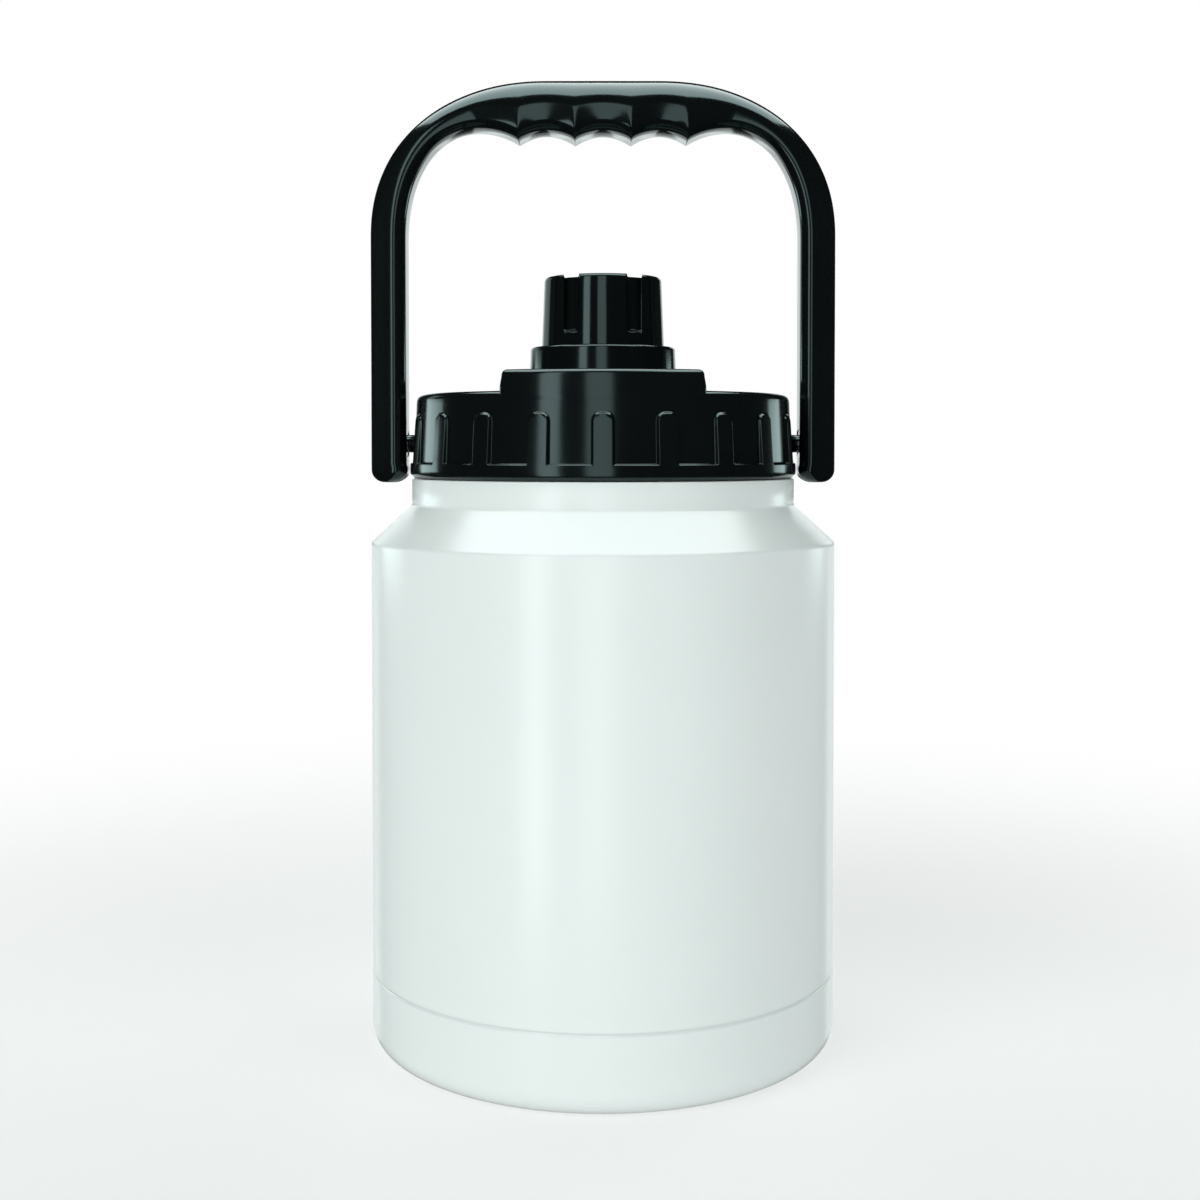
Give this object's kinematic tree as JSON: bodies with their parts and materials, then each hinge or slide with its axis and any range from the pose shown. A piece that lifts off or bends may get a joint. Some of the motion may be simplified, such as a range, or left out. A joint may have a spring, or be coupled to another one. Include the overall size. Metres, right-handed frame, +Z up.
{
  "type": "stainless steel jug",
  "caption": "Insulated steel jug with a white coated body, ribbed black screw lid, drinking cap on a collar and a swinging carrying handle with finger hollows.",
  "frame": {"origin": "centre of the jug's base, on the surface it stands on", "axes": "+Z up along the jug's axis, +X along the handle's pivot axis, the pictured front faces -Y"},
  "size_m": [0.1656, 0.165, 0.3422],
  "materials": {
    "white_coat": "smooth semi-gloss powder coat",
    "lid_plastic": "gloss moulded",
    "cap_plastic": "gloss moulded",
    "handle_plastic": "gloss moulded"
  },
  "bodies": {
    "jug": {"body": "white_coat", "lid": "lid_plastic", "cap_collar": "lid_plastic", "cap": "cap_plastic"},
    "handle": {"handle": "handle_plastic"}
  },
  "joints": [
    {"name": "handle_swing", "type": "hinge", "parent": "jug", "child": "handle", "pos_m": [0, 0, 0.2129], "axis": [1, 0, 0], "range_deg": [-121, 121]}
  ]
}
